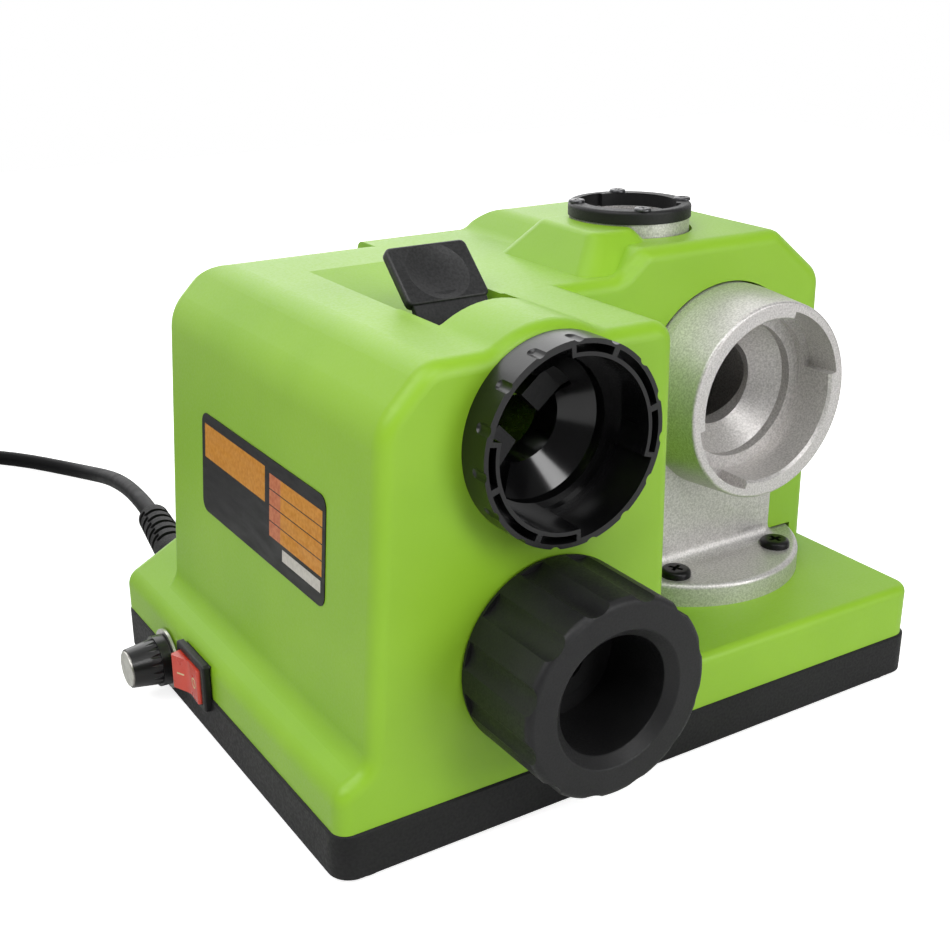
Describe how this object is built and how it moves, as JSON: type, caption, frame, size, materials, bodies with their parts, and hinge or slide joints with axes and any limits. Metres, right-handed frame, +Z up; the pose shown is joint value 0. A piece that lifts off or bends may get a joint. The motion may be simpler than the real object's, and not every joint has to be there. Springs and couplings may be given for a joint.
{
  "type": "drill bit sharpener",
  "caption": "Electric drill-bit sharpener: green housing on a black tray, gauge port with thumb lever, parked drill chuck, cast grinding head with front and top ports, speed dial and lead.",
  "frame": {"origin": "bottom centre of the machine without its lead, on the bench under the feet", "axes": "+X to the right along the front, +Y to the rear, +Z up; the chuck and the ports face -Y"},
  "size_m": [0.324, 0.4205, 0.1414],
  "materials": {
    "green_plastic": "satin moulded plastic",
    "black_plastic": "fine-grained moulded plastic",
    "black_rubber": "matt",
    "cast_aluminium": "bead-blasted casting",
    "silver_metal": "spun face",
    "steel": "machined",
    "black_steel": "blackened",
    "red_plastic": "translucent red",
    "diamond_grit": "diamond grit on steel",
    "ferrite": "sintered",
    "carbon": "pressed carbon",
    "copper": "enamelled winding",
    "board": "circuit board",
    "cord_pvc": "smooth flexible jacket"
  },
  "bodies": {
    "machine": {"housing": "green_plastic", "base_tray": "black_plastic", "rubber_feet": "black_rubber", "housing_screws": "steel", "gauge_body": "black_plastic", "lever_pin": "steel", "lever_spring": "steel", "chuck_pocket": "black_plastic", "grinding_head": "cast_aluminium", "head_screws": "black_steel", "top_port_ring": "black_plastic", "top_port_screws": "steel", "motor_can": "steel", "motor_front_bell": "cast_aluminium", "motor_rear_bell": "cast_aluminium", "front_bearing": "steel", "rear_bearing": "steel", "motor_screws": "steel", "magnets": "ferrite", "carbon_brushes": "carbon", "rocker_bezel": "black_plastic", "potentiometer": "black_plastic", "dial_disc": "silver_metal", "pot_nut": "steel", "speed_board": "board", "board_parts": "black_plastic", "strain_relief": "black_rubber", "mains_cord": "cord_pvc", "cord_coil": "cord_pvc", "coil_tie": "black_plastic", "plug_body": "black_rubber", "plug_pins": "steel"},
    "spindle": {"motor_shaft": "steel", "armature_core": "steel", "armature_windings": "copper", "commutator": "copper", "wheel_spacer": "steel", "grinding_wheel": "diamond_grit", "wheel_washer": "steel", "wheel_nut": "steel"},
    "lever": {"gauge_lever": "black_plastic"},
    "jaw_upper": {"gauge_jaw_upper": "black_plastic"},
    "jaw_lower": {"gauge_jaw_lower": "black_plastic"},
    "chuck": {"chuck_body": "black_plastic"},
    "chuck_jaw_set": {"chuck_jaws": "steel"},
    "chuck_grip": {"chuck_knob": "black_plastic"},
    "speed_dial": {"pot_shaft": "steel", "speed_knob": "black_plastic", "knob_cap": "silver_metal"},
    "rocker": {"rocker_paddle": "red_plastic"}
  },
  "joints": [
    {"name": "spindle_spin", "type": "hinge", "parent": "machine", "child": "spindle", "pos_m": [0.0043, 0.01252, 0.0898], "axis": [1, 0, 0], "continuous": true},
    {"name": "speed_dial_turn", "type": "hinge", "parent": "machine", "child": "speed_dial", "pos_m": [-0.0957, 0.04983, 0.0125], "axis": [1, 0, 0], "range_deg": [0, 280]},
    {"name": "rocker_tilt", "type": "hinge", "parent": "machine", "child": "rocker", "pos_m": [-0.0917, 0.02652, 0.018], "axis": [0, 0, -1], "range_deg": [0, 20]},
    {"name": "lever_press", "type": "hinge", "parent": "machine", "child": "lever", "pos_m": [-0.0317, -0.01798, 0.113], "axis": [-1, 0, 0], "range_deg": [0, 18], "stiffness_Nm_per_rad": 0.3},
    {"name": "jaw_upper_slide", "type": "slide", "parent": "machine", "child": "jaw_upper", "axis": [0.7071, 0, 0.7071], "range_m": [0, 0.0025]},
    {"name": "jaw_lower_slide", "type": "slide", "parent": "machine", "child": "jaw_lower", "axis": [-0.7071, 0, -0.7071], "range_m": [0, 0.0025]},
    {"name": "chuck_pull", "type": "slide", "parent": "machine", "child": "chuck", "axis": [0, -1, 0], "range_m": [0, 0.06]},
    {"name": "chuck_grip_turn", "type": "hinge", "parent": "chuck", "child": "chuck_grip", "pos_m": [-0.0317, -0.07197, 0.0477], "axis": [0, -1, 0], "range_deg": [0, 180]},
    {"name": "chuck_jaw_slide", "type": "slide", "parent": "chuck", "child": "chuck_jaw_set", "axis": [0, -1, 0], "range_m": [0, 0.004]}
  ],
  "couplings": [
    {"joint": "jaw_upper_slide", "follows": "lever_press", "m_per_rad": 0.0079259},
    {"joint": "jaw_lower_slide", "follows": "lever_press", "m_per_rad": 0.0079259},
    {"joint": "chuck_jaw_slide", "follows": "chuck_grip_turn", "m_per_rad": 0.0012669}
  ]
}
